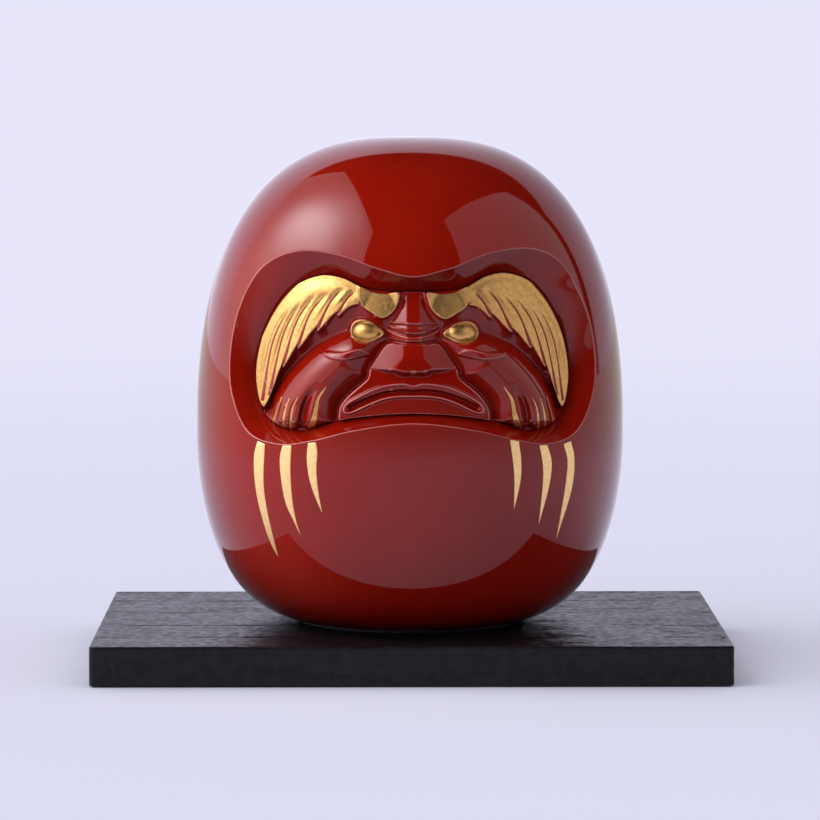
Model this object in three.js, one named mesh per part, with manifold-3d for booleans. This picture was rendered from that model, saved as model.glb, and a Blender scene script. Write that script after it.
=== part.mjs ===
// A lacquered daruma doll on its display board. Millimetres, +Z up, the doll faces -Y and +X is on the
// viewer's right. The origin is the middle of the board's underside.
import * as THREE from "three";
import { mergeVertices } from "three/addons/utils/BufferGeometryUtils.js";
import Module from "manifold-3d";

const wasm = await Module();
wasm.setup();

// ---- Driving dimensions ----
const GAP = 0.3; // clearance between pieces that sit against a curved or cut face

const BOARD = { width: 180, depth: 120, height: 11.5, corner: 1.2 };
const WRAP = { skin: 0.8, turnIn: 12 }; // covering of the board, folded under its core
const BACKING = { width: 170, depth: 110, thick: 0.4, corner: 3 };

// The doll's own frame has z = 0 on the board's top face.
const BODY = { radius: 62.15, widestAt: 52.9, rise: 87.85, drop: 53.9, wall: 3, floor: 5.5 };
const CROWN = { flat: 2.47, round: 2.7 }; // superellipse powers above the widest ring
const BOWL = { flat: 1.85, round: 4.75 }; // and below it

const FELT = { radius: 33, thick: 1 };
const BASE_PLATE = { radius: 22, thick: 1.5 };
const BASE_OPENING = 15;
const BASE_SCREW = { count: 3, circle: 18.6, radius: 1.25, head: 2.3, sink: 1.2, length: 3.9 };
const BALLAST_TOP = 19;

// Depths under the body's surface: the recess that holds the face, the mask in it and the brows on that.
const WINDOW = { depth: 8, housing: 3, centre: 80.2 };
const MASK = { face: 4.8, proudest: 0.8, edge: 6.4, back: 7.7, margin: 0.6 };
const BROW = { front: 2.8, back: 6.9 };
const EYE = { x: 13.3, z: 87.7, halfWidth: 4.1, halfHeight: 2.9, halfDepth: 2.2, inset: 4.6 };

const STUD = { x: 26, z: 75, radius: 2, front: -48.3, back: -31 };
const STUD_BOSS = { radius: 6, face: -37.1 };
const WASHER = { radius: 4.5, thick: 0.8 };
const NUT = { acrossFlats: 7, thick: 3.2 };

// Right halves of outlines seen from the front, [x, height above the board], from the middle of the
// top edge round to the middle of the bottom edge.
const WINDOW_HALF = [
  [0, 102.8], [9.1, 104.9], [20.2, 108.6], [32.3, 109.4], [41.8, 104.9], [48.5, 93.5], [51.4, 78.5],
  [50.4, 67.3], [45.6, 58.1], [37, 55.7], [27.6, 57.2], [16.5, 60.3], [0, 62.6],
];
const MASK_HALF = [
  [0, 98.4], [12.5, 99.3], [19.6, 102.2], [25.1, 102.7], [33.7, 98.8], [40.7, 88.5], [43.8, 75.1],
  [42.1, 65.2], [38.5, 60.7], [30.8, 59.5], [19.3, 63], [0, 64.9],
];
const BROW_OUTLINE = [
  [4.2, 97.6], [9.1, 98.4], [13.6, 99.2], [19.6, 101.7], [25.1, 102.2], [33.1, 98.3], [37.5, 93.1],
  [41.6, 84.2], [43.1, 75.1], [41.8, 66.6], [39, 72.7], [35, 79.2], [30.1, 84.8], [25.4, 90.1],
  [19.3, 93.3], [13.9, 95.2], [10.7, 92.9], [7.6, 91.6], [5.3, 93.7],
];

// Swellings of the mask's face, by place seen from the front, width, height and rise.
const RELIEF = {
  nose: { x: 0, z: 79.7, wide: 9, tall: 6, rise: 3.4 },
  cheek: { x: 26, z: 73, wide: 10, tall: 8, rise: 1.8 },
  muzzle: { x: 0, z: 69, wide: 14, tall: 5, rise: 2.2 },
  eyeHollow: { x: 15, z: 87.3, wide: 9, tall: 4, rise: -0.8 },
};

const IN_FRONT = -90; // y values of cutting planes well in front of the doll,
const NEAR_AXIS = -20; // and behind every part of the face

const OUTSIDE = { sides: 64, steps: 10 }; // facets of the body's outer face
const INSIDE = { sides: 36, steps: 8 }; // and of its hollow and other inner faces
const OUTLINE_POINTS = 48;
const BAR_SIDES = 20;
const DISC_SIDES = 36;

const MATERIALS = {
  lacquer: new THREE.MeshStandardMaterial({ color: 0x9e0f0a, roughness: 0.08, metalness: 0 }),
  gold: new THREE.MeshStandardMaterial({ color: 0xc79a5b, roughness: 0.4, metalness: 1 }),
  steel: new THREE.MeshStandardMaterial({ color: 0x9a9da1, roughness: 0.35, metalness: 1 }),
  plaster: new THREE.MeshStandardMaterial({ color: 0xd8d3c6, roughness: 0.9, metalness: 0 }),
  felt: new THREE.MeshStandardMaterial({ color: 0x1b1a1c, roughness: 1, metalness: 0 }),
  leather: new THREE.MeshStandardMaterial({ color: 0x17181d, roughness: 0.4, metalness: 0 }),
  fibreboard: new THREE.MeshStandardMaterial({ color: 0x9b7650, roughness: 0.8, metalness: 0 }),
  paper: new THREE.MeshStandardMaterial({ color: 0x222226, roughness: 0.9, metalness: 0 }),
};

// ---- Solids ----

// A three.js geometry as a manifold-3d solid: shared corners merged, triangles with no area dropped.
function solid(geometry) {
  const bare = new THREE.BufferGeometry();
  bare.setAttribute("position", geometry.getAttribute("position"));
  bare.setIndex(geometry.index);
  const merged = mergeVertices(bare, 1e-3);
  const corners = merged.index.array;
  const kept = [];
  for (let i = 0; i < corners.length; i += 3) {
    const [a, b, c] = corners.slice(i, i + 3);
    if (a !== b && b !== c && c !== a) kept.push(a, b, c);
  }
  const vertProperties = merged.getAttribute("position").array;
  return new wasm.Manifold(new wasm.Mesh({ numProp: 3, vertProperties, triVerts: new Uint32Array(kept) }));
}

function named(name, shape, material) {
  const made = shape.getMesh();
  const geometry = new THREE.BufferGeometry();
  geometry.setAttribute("position", new THREE.BufferAttribute(made.vertProperties, 3));
  geometry.setIndex(new THREE.BufferAttribute(made.triVerts, 1));
  geometry.computeVertexNormals();
  const mesh = new THREE.Mesh(geometry, material);
  mesh.name = name;
  return mesh;
}

// A closed skin over a stack of rings with the same number of points, with a point at each end.
function skin(startPoint, rings, endPoint) {
  const sides = rings[0].length;
  const positions = [startPoint, ...rings.flat(), endPoint].flat();
  const last = positions.length / 3 - 1;
  const faces = [];
  for (let k = 0; k < sides; k++) {
    const next = (k + 1) % sides;
    faces.push(0, 1 + next, 1 + k);
    for (let ring = 0; ring < rings.length - 1; ring++) {
      const here = 1 + ring * sides;
      const beyond = here + sides;
      faces.push(here + k, here + next, beyond + next);
      faces.push(here + k, beyond + next, beyond + k);
    }
    faces.push(last, last - sides + k, last - sides + next);
  }
  const geometry = new THREE.BufferGeometry();
  geometry.setAttribute("position", new THREE.Float32BufferAttribute(positions, 3));
  geometry.setIndex(faces);
  return solid(geometry);
}

// A round bar, or a cone, along +Z from height low to height high.
function barZ(radius, low, high, { x = 0, y = 0, topRadius = radius, sides = BAR_SIDES } = {}) {
  const geometry = new THREE.CylinderGeometry(topRadius, radius, high - low, sides);
  geometry.rotateX(Math.PI / 2);
  geometry.translate(x, y, (low + high) / 2);
  return solid(geometry);
}

// A round bar along Y from near to far; six sides make a nut's outline.
function barY(radius, near, far, x, z, sides = BAR_SIDES) {
  const geometry = new THREE.CylinderGeometry(radius, radius, far - near, sides);
  geometry.translate(x, (near + far) / 2, z);
  return solid(geometry);
}

// A flat slab with rounded corners, centred on the axis.
function slab(width, depth, low, high, corner) {
  const [w, d] = [width / 2, depth / 2];
  const shape = new THREE.Shape();
  shape.moveTo(-w + corner, -d);
  shape.lineTo(w - corner, -d);
  shape.absarc(w - corner, -d + corner, corner, -Math.PI / 2, 0);
  shape.absarc(w - corner, d - corner, corner, 0, Math.PI / 2);
  shape.absarc(-w + corner, d - corner, corner, Math.PI / 2, Math.PI);
  shape.absarc(-w + corner, -d + corner, corner, Math.PI, 1.5 * Math.PI);
  const options = { depth: high - low, bevelEnabled: false, curveSegments: 4 };
  const geometry = new THREE.ExtrudeGeometry(shape, options);
  geometry.translate(0, 0, low);
  return solid(geometry);
}

// ---- The doll's body of revolution ----

// Radius of the body at a height, on a surface set in by inset.
function bodyRadius(z, inset = 0) {
  const above = z >= BODY.widestAt;
  const power = above ? CROWN : BOWL;
  const share = Math.abs(z - BODY.widestAt) / ((above ? BODY.rise : BODY.drop) - inset);
  return (BODY.radius - inset) * Math.max(1 - share ** power.flat, 0) ** (1 / power.round);
}

// How far in front of the axis that surface lies, as a y value, at a place seen from the front.
function bodyFront(x, z, inset = 0) {
  return -Math.sqrt(Math.max(bodyRadius(z, inset) ** 2 - x ** 2, 0));
}

// The body as a lathe, set in by inset, from a flat at height low up to its crown or a flat at high.
function bodyLathe(inset, low, { sides, steps }, high = Infinity) {
  const crown = BODY.widestAt + BODY.rise - inset;
  const lowAngle = Math.asin(((BODY.widestAt - low) / (BODY.drop - inset)) ** (BOWL.flat / 2));
  const upperSteps = 1.5 * steps;
  const profile = [new THREE.Vector2(0, low)];
  for (let i = 0; i <= steps; i++) {
    const turn = lowAngle * (1 - i / steps);
    const z = BODY.widestAt - (BODY.drop - inset) * Math.sin(turn) ** (2 / BOWL.flat);
    if (z < high) profile.push(new THREE.Vector2(bodyRadius(z, inset), z));
  }
  for (let i = 1; i < upperSteps; i++) {
    const turn = (Math.PI / 2) * (i / upperSteps);
    const z = BODY.widestAt + (crown - BODY.widestAt) * Math.sin(turn) ** (2 / CROWN.flat);
    if (z < high) profile.push(new THREE.Vector2(bodyRadius(z, inset), z));
  }
  if (high < crown) profile.push(new THREE.Vector2(bodyRadius(high, inset), high));
  profile.push(new THREE.Vector2(0, Math.min(high, crown)));
  const geometry = new THREE.LatheGeometry(profile, sides);
  geometry.rotateX(Math.PI / 2);
  return solid(geometry);
}

// ---- Outlines seen from the front ----

// A closed curve through a right half outline and its mirror image.
function mirroredCurve(half) {
  const left = half.slice(1, -1).reverse().map(([x, z]) => [-x, z]);
  const points = [...half, ...left].map(([x, z]) => new THREE.Vector3(x, z, 0));
  return new THREE.CatmullRomCurve3(points, true, "centripetal");
}

// Points of a curve at equal angles round a centre on the axis, counted from straight up; grow moves
// each one outwards.
function byAngle(curve, centre, count, grow = 0) {
  const dense = curve.getPoints(count * 16).map((p) => {
    const [x, z] = [p.x, p.y - centre];
    return { angle: (Math.atan2(x, z) + 2 * Math.PI) % (2 * Math.PI), reach: Math.hypot(x, z) };
  });
  return Array.from({ length: count }, (_, k) => {
    const angle = (2 * Math.PI * k) / count;
    const away = (p) => Math.abs(Math.sin((p.angle - angle) / 2));
    const nearest = dense.reduce((best, p) => (away(p) < away(best) ? p : best));
    const reach = nearest.reach + grow;
    return [reach * Math.sin(angle), centre + reach * Math.cos(angle)];
  });
}

// A bar along Y with the given outline [x, z], turning clockwise seen from the front.
function outlineBar(outline, near, far) {
  const mean = (axis) => outline.reduce((sum, point) => sum + point[axis], 0) / outline.length;
  const ring = (y) => outline.map(([x, z]) => [x, y, z]);
  return skin([mean(0), near, mean(1)], [ring(near), ring(far)], [mean(0), far, mean(1)]);
}

const windowRim = byAngle(mirroredCurve(WINDOW_HALF), WINDOW.centre, OUTLINE_POINTS);
const maskEdge = byAngle(mirroredCurve(MASK_HALF), WINDOW.centre, OUTLINE_POINTS);
const towardsCentre = ([x, z], share) => [x * share, WINDOW.centre + (z - WINDOW.centre) * share];

// ---- Pieces of the doll ----

// What the recess removes: straight in to the body's surface, then a bevel down to the floor that the
// mask stands on.
function windowCutter() {
  const floorEdge = byAngle(mirroredCurve(MASK_HALF), WINDOW.centre, OUTLINE_POINTS, MASK.margin);
  const floorRing = (share) => floorEdge.map((p) => {
    const [x, z] = towardsCentre(p, share);
    return [x, bodyFront(x, z, WINDOW.depth), z];
  });
  const rings = [
    windowRim.map(([x, z]) => [x, IN_FRONT, z]),
    windowRim.map(([x, z]) => [x, bodyFront(x, z), z]),
    ...[1, 0.66, 0.33].map(floorRing),
  ];
  const floorY = bodyFront(0, WINDOW.centre, WINDOW.depth);
  return skin([0, IN_FRONT, WINDOW.centre], rings, [0, floorY, WINDOW.centre]);
}

// Middles of the screws that hold the base plate.
const screwPlaces = Array.from({ length: BASE_SCREW.count }, (_, i) => {
  const turn = Math.PI / 2 + (2 * Math.PI * i) / BASE_SCREW.count;
  return [BASE_SCREW.circle * Math.cos(turn), BASE_SCREW.circle * Math.sin(turn)];
});

function bodyShell() {
  const outside = bodyLathe(0, FELT.thick, OUTSIDE);
  const hollow = bodyLathe(BODY.wall, BODY.floor, INSIDE);
  const windowCurve = mirroredCurve(WINDOW_HALF);
  const housingOutline = byAngle(windowCurve, WINDOW.centre, OUTLINE_POINTS, WINDOW.housing);
  const housing = outlineBar(housingOutline, IN_FRONT, NEAR_AXIS)
    .intersect(outside)
    .subtract(bodyLathe(WINDOW.depth + WINDOW.housing, 3 * BODY.floor, INSIDE));
  const studBar = (side, radius, near, far) => barY(radius, near, far, side * STUD.x, STUD.z);
  let shell = outside.subtract(hollow).add(housing);
  for (const side of [-1, 1]) {
    shell = shell.add(studBar(side, STUD_BOSS.radius, STUD.front, STUD_BOSS.face));
  }
  shell = shell.subtract(windowCutter());
  for (const side of [-1, 1]) shell = shell.subtract(studBar(side, STUD.radius + GAP, IN_FRONT, STUD.back));
  const recess = BASE_PLATE.radius + GAP;
  shell = shell
    .subtract(barZ(BASE_OPENING, 0, 2 * BODY.floor, { sides: DISC_SIDES }))
    .subtract(barZ(recess, 0, FELT.thick + BASE_PLATE.thick, { sides: DISC_SIDES }));
  for (const [x, y] of screwPlaces) {
    shell = shell.subtract(barZ(BASE_SCREW.radius + GAP, 0, 2 * BODY.floor, { x, y }));
  }
  return shell;
}

// How deep the mask's front lies under the body's surface: a shallow dome that rises to the cheeks,
// the muzzle and the nose, and sinks along the eyes.
function maskInset(x, z) {
  const rises = Object.values(RELIEF).map((part) => {
    const across = (Math.abs(x) - part.x) / part.wide;
    const up = (z - part.z) / part.tall;
    return part.rise * Math.exp(-(across ** 2) - up ** 2);
  });
  return Math.max(MASK.face - rises.reduce((sum, rise) => sum + rise), MASK.proudest);
}

function faceMask() {
  const ring = (share, inset) => maskEdge.map((p) => {
    const [x, z] = towardsCentre(p, share);
    return [x, bodyFront(x, z, inset(x, z)), z];
  });
  const edge = () => MASK.edge;
  const back = () => MASK.back;
  const rings = [
    ...[0.16, 0.33, 0.5, 0.67, 0.84, 0.95].map((share) => ring(share, maskInset)),
    ring(1, edge),
    ...[1, 0.66, 0.33].map((share) => ring(share, back)),
  ];
  const front = [0, bodyFront(0, WINDOW.centre, maskInset(0, WINDOW.centre)), WINDOW.centre];
  const rear = [0, bodyFront(0, WINDOW.centre, MASK.back), WINDOW.centre];
  return skin(front, rings, rear);
}

function eyeball(side, grow = 0) {
  const geometry = new THREE.SphereGeometry(1, 16, 10);
  geometry.scale(EYE.halfWidth + grow, EYE.halfDepth + grow, EYE.halfHeight + grow);
  geometry.translate(side * EYE.x, bodyFront(EYE.x, EYE.z, EYE.inset), EYE.z);
  return solid(geometry);
}

// A bar along Y with a brow's outline.
function browBar(side) {
  const points = BROW_OUTLINE.map(([x, z]) => new THREE.Vector3(side * x, z, 0));
  if (side < 0) points.reverse();
  const curve = new THREE.CatmullRomCurve3(points, true, "centripetal");
  const outline = curve.getPoints(OUTLINE_POINTS).slice(0, -1);
  const shape = new THREE.Shape(outline.map((p) => new THREE.Vector2(p.x, p.y)));
  const options = { depth: NEAR_AXIS - IN_FRONT, bevelEnabled: false };
  const geometry = new THREE.ExtrudeGeometry(shape, options);
  geometry.rotateX(Math.PI / 2);
  geometry.translate(0, NEAR_AXIS, 0);
  return solid(geometry);
}

// A brow lies on the mask, so its back is the mask's front.
function brow(side, mask) {
  return browBar(side)
    .intersect(bodyLathe(BROW.front, 3 * BODY.floor, INSIDE))
    .subtract(bodyLathe(BROW.back, 3 * BODY.floor, INSIDE))
    .subtract(mask.translate([0, -GAP, 0]));
}

function stud(side) {
  return barY(STUD.radius, STUD.front, STUD.back, side * STUD.x, STUD.z);
}

function washer(side) {
  const far = STUD_BOSS.face + WASHER.thick;
  return barY(WASHER.radius, STUD_BOSS.face, far, side * STUD.x, STUD.z)
    .subtract(barY(STUD.radius + GAP, STUD_BOSS.face - 1, far + 1, side * STUD.x, STUD.z));
}

function nut(side) {
  const near = STUD_BOSS.face + WASHER.thick;
  const far = near + NUT.thick;
  return barY(NUT.acrossFlats / Math.sqrt(3), near, far, side * STUD.x, STUD.z, 6)
    .subtract(barY(STUD.radius + GAP, near - 1, far + 1, side * STUD.x, STUD.z));
}

function basePlate() {
  const low = FELT.thick;
  const holeRadius = BASE_SCREW.radius + GAP;
  let plate = barZ(BASE_PLATE.radius, low, low + BASE_PLATE.thick, { sides: DISC_SIDES });
  for (const [x, y] of screwPlaces) {
    const sink = barZ(BASE_SCREW.head + GAP, low, low + BASE_SCREW.sink, { x, y, topRadius: holeRadius });
    plate = plate.subtract(barZ(holeRadius, 0, BODY.floor, { x, y })).subtract(sink);
  }
  return plate;
}

// A countersunk screw, its head a little above the plate's underside.
function baseScrew([x, y]) {
  const low = FELT.thick + GAP / 2;
  const neck = low + BASE_SCREW.sink - GAP;
  const head = barZ(BASE_SCREW.head, low, neck, { x, y, topRadius: BASE_SCREW.radius });
  return head.add(barZ(BASE_SCREW.radius, neck - GAP, low + BASE_SCREW.length, { x, y }));
}

// ---- Pieces of the board ----

function boardWrap() {
  const low = BACKING.thick;
  const [width, depth] = [BOARD.width - 2 * WRAP.skin, BOARD.depth - 2 * WRAP.skin];
  const [openWidth, openDepth] = [BOARD.width - 2 * WRAP.turnIn, BOARD.depth - 2 * WRAP.turnIn];
  return slab(BOARD.width, BOARD.depth, low, BOARD.height, BOARD.corner)
    .subtract(slab(width, depth, low + WRAP.skin, BOARD.height - WRAP.skin, BOARD.corner / 2))
    .subtract(slab(openWidth, openDepth, low - 1, low + WRAP.skin + 1, BOARD.corner));
}

function boardCore() {
  const inset = 2 * (WRAP.skin + GAP);
  const [low, high] = [BACKING.thick + WRAP.skin, BOARD.height - WRAP.skin];
  return slab(BOARD.width - inset, BOARD.depth - inset, low, high, BOARD.corner / 2);
}

function boardBacking() {
  return slab(BACKING.width, BACKING.depth, 0, BACKING.thick, BACKING.corner);
}

// ---- Assembly ----

const board = new THREE.Group();
board.add(
  named("board_core", boardCore(), MATERIALS.fibreboard),
  named("board_wrap", boardWrap(), MATERIALS.leather),
  named("board_backing", boardBacking(), MATERIALS.paper),
);

const doll = new THREE.Group();
doll.position.z = BOARD.height;

const mask = faceMask();
let drilledMask = mask;
for (const [side, hand] of [[-1, "left"], [1, "right"]]) {
  drilledMask = drilledMask
    .subtract(eyeball(side, GAP))
    .subtract(barY(STUD.radius + GAP, STUD.front - GAP, STUD.back, side * STUD.x, STUD.z));
  doll.add(
    named("brow_" + hand, brow(side, mask), MATERIALS.gold),
    named("eye_" + hand, eyeball(side), MATERIALS.gold),
    named("mask_stud_" + hand, stud(side), MATERIALS.steel),
    named("mask_washer_" + hand, washer(side), MATERIALS.steel),
    named("mask_nut_" + hand, nut(side), MATERIALS.steel),
  );
}
const ballast = bodyLathe(BODY.wall + GAP, BODY.floor + GAP, INSIDE, BALLAST_TOP);
doll.add(
  named("body_shell", bodyShell(), MATERIALS.lacquer),
  named("face_mask", drilledMask, MATERIALS.lacquer),
  named("ballast", ballast, MATERIALS.plaster),
  named("base_plate", basePlate(), MATERIALS.steel),
  named("base_felt", barZ(FELT.radius, 0, FELT.thick, { sides: DISC_SIDES }), MATERIALS.felt),
  ...screwPlaces.map((place, i) => named("base_screw_" + (i + 1), baseScrew(place), MATERIALS.steel)),
);

const group = new THREE.Group();
group.add(board, doll);
export default group;
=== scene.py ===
"""A lacquered daruma doll on its leather-covered board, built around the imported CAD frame.

Blender lengths are metres. Shape functions work in millimetres, with height counted from the board's
top face for the doll and from the ground for the board. The doll faces -Y.
"""

import math

import bpy
import numpy as np
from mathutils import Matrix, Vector


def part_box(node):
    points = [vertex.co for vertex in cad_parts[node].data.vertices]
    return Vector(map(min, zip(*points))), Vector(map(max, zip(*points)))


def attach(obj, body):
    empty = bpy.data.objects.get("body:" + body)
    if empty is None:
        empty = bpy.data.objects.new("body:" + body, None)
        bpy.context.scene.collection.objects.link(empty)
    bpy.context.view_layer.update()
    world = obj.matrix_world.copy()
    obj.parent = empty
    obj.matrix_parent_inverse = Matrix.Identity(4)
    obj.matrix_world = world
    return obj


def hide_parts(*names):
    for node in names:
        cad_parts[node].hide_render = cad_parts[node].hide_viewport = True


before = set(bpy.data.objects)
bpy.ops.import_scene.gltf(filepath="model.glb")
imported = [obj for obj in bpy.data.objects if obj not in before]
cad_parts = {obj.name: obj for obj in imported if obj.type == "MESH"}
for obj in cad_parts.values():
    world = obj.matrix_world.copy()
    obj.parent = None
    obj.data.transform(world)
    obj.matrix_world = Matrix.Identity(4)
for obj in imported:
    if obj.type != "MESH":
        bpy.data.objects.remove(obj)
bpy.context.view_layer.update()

MM = 0.001
SHELL_LOW, SHELL_HIGH = (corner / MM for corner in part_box("body_shell"))
WRAP_LOW, WRAP_HIGH = (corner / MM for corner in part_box("board_wrap"))
BOARD_TOP = WRAP_HIGH.z
DOLL_PLACE = (0, 0, BOARD_TOP)

# ---- Sizes of the doll, in millimetres ----

BODY_RADIUS = SHELL_HIGH.x
WIDEST_AT = 52.9
RISE = SHELL_HIGH.z - BOARD_TOP - WIDEST_AT
DROP = 53.9
CROWN_FLAT, CROWN_ROUND = 2.47, 2.7
BOWL_FLAT, BOWL_ROUND = 1.85, 4.75
WALL = 3.0
FOOT_HEIGHT = SHELL_LOW.z - BOARD_TOP
HOLLOW_FLOOR = 5.5
BASE_RECESS_RADIUS, BASE_RECESS_TOP = 22.3, 2.8

WINDOW_CENTRE = 80.2
WINDOW_DEPTH = 8.0
HOUSING = 3.0
MASK_BACK = 7.7
HALVINGS = 44

# Right halves of outlines seen from the front, (x, height), from the top middle to the bottom middle.
WINDOW_HALF = [
    (0, 102.8), (9.1, 104.9), (20.2, 108.6), (32.3, 109.4), (41.8, 104.9), (48.5, 93.5), (51.4, 78.5),
    (50.4, 67.3), (45.6, 58.1), (37, 55.7), (27.6, 57.2), (16.5, 60.3), (0, 62.6),
]
MASK_HALF = [
    (0, 98.4), (12.5, 99.3), (19.6, 102.2), (25.1, 102.7), (33.7, 98.8), (40.7, 88.5), (43.8, 75.1),
    (42.1, 65.2), (38.5, 60.7), (30.8, 59.5), (19.3, 63), (0, 64.9),
]

# How far places on the face's right half lie to the right of the mirrored left half, (x, move).
CARVED_RIGHT = [
    (0, 0.45), (4, 0.6), (8, 1.0), (14, 1.4), (20, 1.7), (34, 1.8), (40, 1.2), (44, 0.6), (51, 0.9),
    (60, 0.9),
]
# Smaller moves in single places: how far, the middle (x, height) and the half widths.
NOSE_WING_RIGHT = (-0.9, (11, 79), (4, 5))
NOSE_WING_LEFT = (0.5, (-11, 79), (4, 5))
MOUTH_CORNER_LEFT = (-0.6, (-17, 66), (4, 4))
CHEEK_TOP_RIGHT = (-0.7, (20, 90), (13, 6))


# ---- Shape helpers ----


def smoothstep(low, high, value):
    t = np.clip((value - low) / (high - low), 0, 1)
    return t * t * (3 - 2 * t)


def soft_max(a, b, width):
    share = np.clip(0.5 + 0.5 * (a - b) / width, 0, 1)
    return b * (1 - share) + a * share + width * share * (1 - share)


def soft_min(a, b, width):
    return -soft_max(-a, -b, width)


def line_between(first, second, start, end, t):
    return (end - t) / (end - start) * first + (t - start) / (end - start) * second


def smooth_curve(points, closed=False, steps=10):
    """Points along a centripetal Catmull-Rom curve."""
    p = np.array(points, float)
    if closed:
        p = np.concatenate([p[-1:], p, p[:2]])
    else:
        p = np.concatenate([2 * p[:1] - p[1:2], p, 2 * p[-1:] - p[-2:-1]])
    out = []
    for a, b, c, d in zip(p[:-3], p[1:-2], p[2:-1], p[3:]):
        t1 = np.linalg.norm(b - a) ** 0.5
        t2 = t1 + np.linalg.norm(c - b) ** 0.5
        t3 = t2 + np.linalg.norm(d - c) ** 0.5
        t = np.linspace(t1, t2, steps, endpoint=False)[:, None]
        ab = line_between(a, b, 0, t1, t)
        bc = line_between(b, c, t1, t2, t)
        cd = line_between(c, d, t2, t3, t)
        out.append(line_between(line_between(ab, bc, 0, t2, t), line_between(bc, cd, t1, t3, t), t1, t2, t))
    out.append(p[1:2] if closed else p[-2:-1])
    return np.concatenate(out)


def nearest_on(x, z, line):
    """Distance to a polyline, the share of its length at the nearest point, and the side: +1 is left."""
    best = np.full(x.shape, 1e9)
    share = np.zeros(x.shape)
    side = np.ones(x.shape)
    steps = np.linalg.norm(np.diff(line, axis=0), axis=1)
    start = np.concatenate([[0], np.cumsum(steps)])
    for k, (a, b) in enumerate(zip(line[:-1], line[1:])):
        dx, dz = b - a
        t = np.clip(((x - a[0]) * dx + (z - a[1]) * dz) / (steps[k] ** 2 + 1e-12), 0, 1)
        ox, oz = x - a[0] - t * dx, z - a[1] - t * dz
        gap = ox * ox + oz * oz
        closer = gap < best
        best = np.where(closer, gap, best)
        share = np.where(closer, (start[k] + t * steps[k]) / start[-1], share)
        side = np.where(closer, np.where(dx * oz - dz * ox >= 0, 1.0, -1.0), side)
    return np.sqrt(best), share, side


def depth_inside(x, z, outline):
    """Distance inside a closed outline, negative outside it."""
    gap = nearest_on(x, z, outline)[0]
    crossings = np.zeros(x.shape, int)
    for a, b in zip(outline[:-1], outline[1:]):
        if a[1] == b[1]:
            continue
        spans = (a[1] > z) != (b[1] > z)
        crossings += spans & (x < a[0] + (z - a[1]) / (b[1] - a[1]) * (b[0] - a[0]))
    return np.where(crossings % 2 == 1, gap, -gap)


def distances_along(line):
    """How far along a polyline each of its points lies."""
    return np.concatenate([[0], np.cumsum(np.linalg.norm(np.diff(line, axis=0), axis=1))])


def mirrored(half):
    return list(half) + [(-x, z) for x, z in reversed(half[1:-1])]


def local_move(x, z, move, middle, size):
    return move * np.exp(-(((x - middle[0]) / size[0]) ** 2) - ((z - middle[1]) / size[1]) ** 2)


def settled(x, z):
    """The face as it was carved: drawn even on both sides, then moved, because its right half is wider."""
    moves = smooth_curve(CARVED_RIGHT)
    right = np.interp(x, moves[:, 0], moves[:, 1]) + local_move(x, z, *NOSE_WING_RIGHT)
    left = CARVED_RIGHT[0][1] * np.exp(-((x / 7) ** 2)) + local_move(x, z, *NOSE_WING_LEFT)
    left = left + local_move(x, z, *MOUTH_CORNER_LEFT)
    brow_up = 0.6 * smoothstep(97, 102, z) * smoothstep(10, 22, x)
    raised = brow_up + local_move(x, z, *CHEEK_TOP_RIGHT)
    on_right = x > 0
    return x + np.where(on_right, right, left), z + np.where(on_right, raised, 0)


def body_radius(z, inset=0.0):
    above = z >= WIDEST_AT
    share = np.abs(z - WIDEST_AT) / (np.where(above, RISE, DROP) - inset)
    flat = np.where(above, CROWN_FLAT, BOWL_FLAT)
    turn = np.where(above, CROWN_ROUND, BOWL_ROUND)
    return (BODY_RADIUS - inset) * np.maximum(1 - np.minimum(share, 1) ** flat, 0) ** (1 / turn)


def body_front(x, z, inset=0.0):
    return -np.sqrt(np.maximum(body_radius(z, inset) ** 2 - x**2, 0))


def rays_at(turn, aim):
    """Unit vectors turned away from -Y, towards an aim counted from straight up."""
    ahead = -np.cos(turn) * np.ones(len(aim))
    return np.stack([np.sin(turn) * np.sin(aim), ahead, np.sin(turn) * np.cos(aim)], axis=1)


def body_along(directions, inset, floor):
    """Where rays from the window's centre on the axis leave the body, no lower than a flat floor."""
    low = np.zeros(len(directions))
    high = np.full(len(directions), 2 * BODY_RADIUS)
    across = np.hypot(directions[:, 0], directions[:, 1])
    for _ in range(HALVINGS):
        middle = (low + high) / 2
        z = WINDOW_CENTRE + middle * directions[:, 2]
        radius = np.where(z > 0, body_radius(z, inset), 0)
        outside = middle * across > radius
        high = np.where(outside, middle, high)
        low = np.where(outside, low, middle)
    down = np.minimum(directions[:, 2], -1e-9)
    low = np.minimum(low, (floor - WINDOW_CENTRE) / down)
    points = directions * low[:, None]
    points[:, 2] += WINDOW_CENTRE
    return points


def outline_reach(half, angles):
    """How far a mirrored outline lies from the window's centre, at angles counted from straight up."""
    curve = smooth_curve(mirrored(half), closed=True, steps=40)[:-1]
    angle = np.arctan2(curve[:, 0], curve[:, 1] - WINDOW_CENTRE)
    reach = np.hypot(curve[:, 0], curve[:, 1] - WINDOW_CENTRE)
    return np.interp(angles, angle, reach, period=2 * np.pi)


# ---- Mesh helpers ----


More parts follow.
